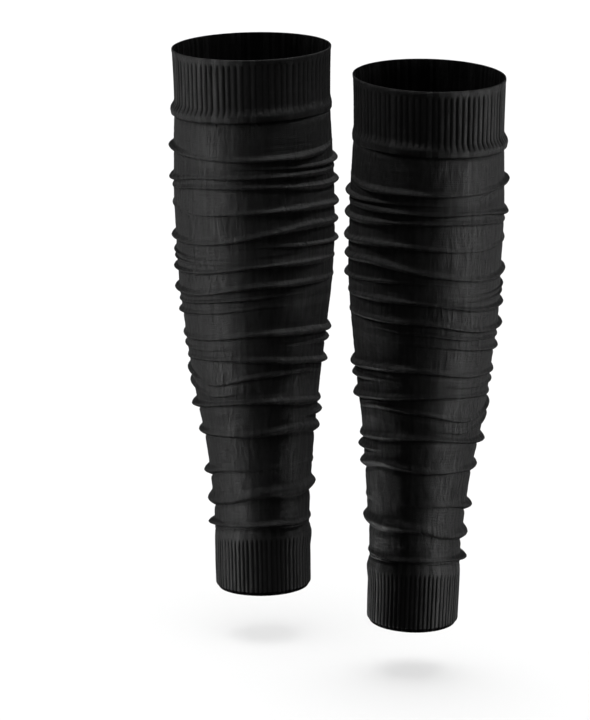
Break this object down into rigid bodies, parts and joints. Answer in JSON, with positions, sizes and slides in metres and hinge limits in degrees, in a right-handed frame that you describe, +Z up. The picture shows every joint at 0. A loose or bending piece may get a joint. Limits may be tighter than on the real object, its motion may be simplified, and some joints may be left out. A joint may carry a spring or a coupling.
{
  "type": "pair of leg sleeves",
  "caption": "Pair of slouched knitted leg sleeves with ribbed top and ankle cuffs, filled out as worn from below the knee to the ankle.",
  "frame": {"origin": "middle of the left sleeve's top opening, where the wearer's leg goes in and holds it", "axes": "+Z up the leg, +X to the right as seen from the front, +Y from the front to the back; the second sleeve stands to the right and nearer"},
  "size_m": [0.2472, 0.2274, 0.4105],
  "materials": {
    "plain_knit": "matt black fine knit with upright stitch columns",
    "rib_knit": "matt black rib knit"
  },
  "bodies": {
    "root": {"left_top_cuff": "rib_knit", "left_leg_tube": "plain_knit", "left_ankle_cuff": "rib_knit", "right_top_cuff": "rib_knit", "right_leg_tube": "plain_knit", "right_ankle_cuff": "rib_knit"}
  },
  "joints": []
}
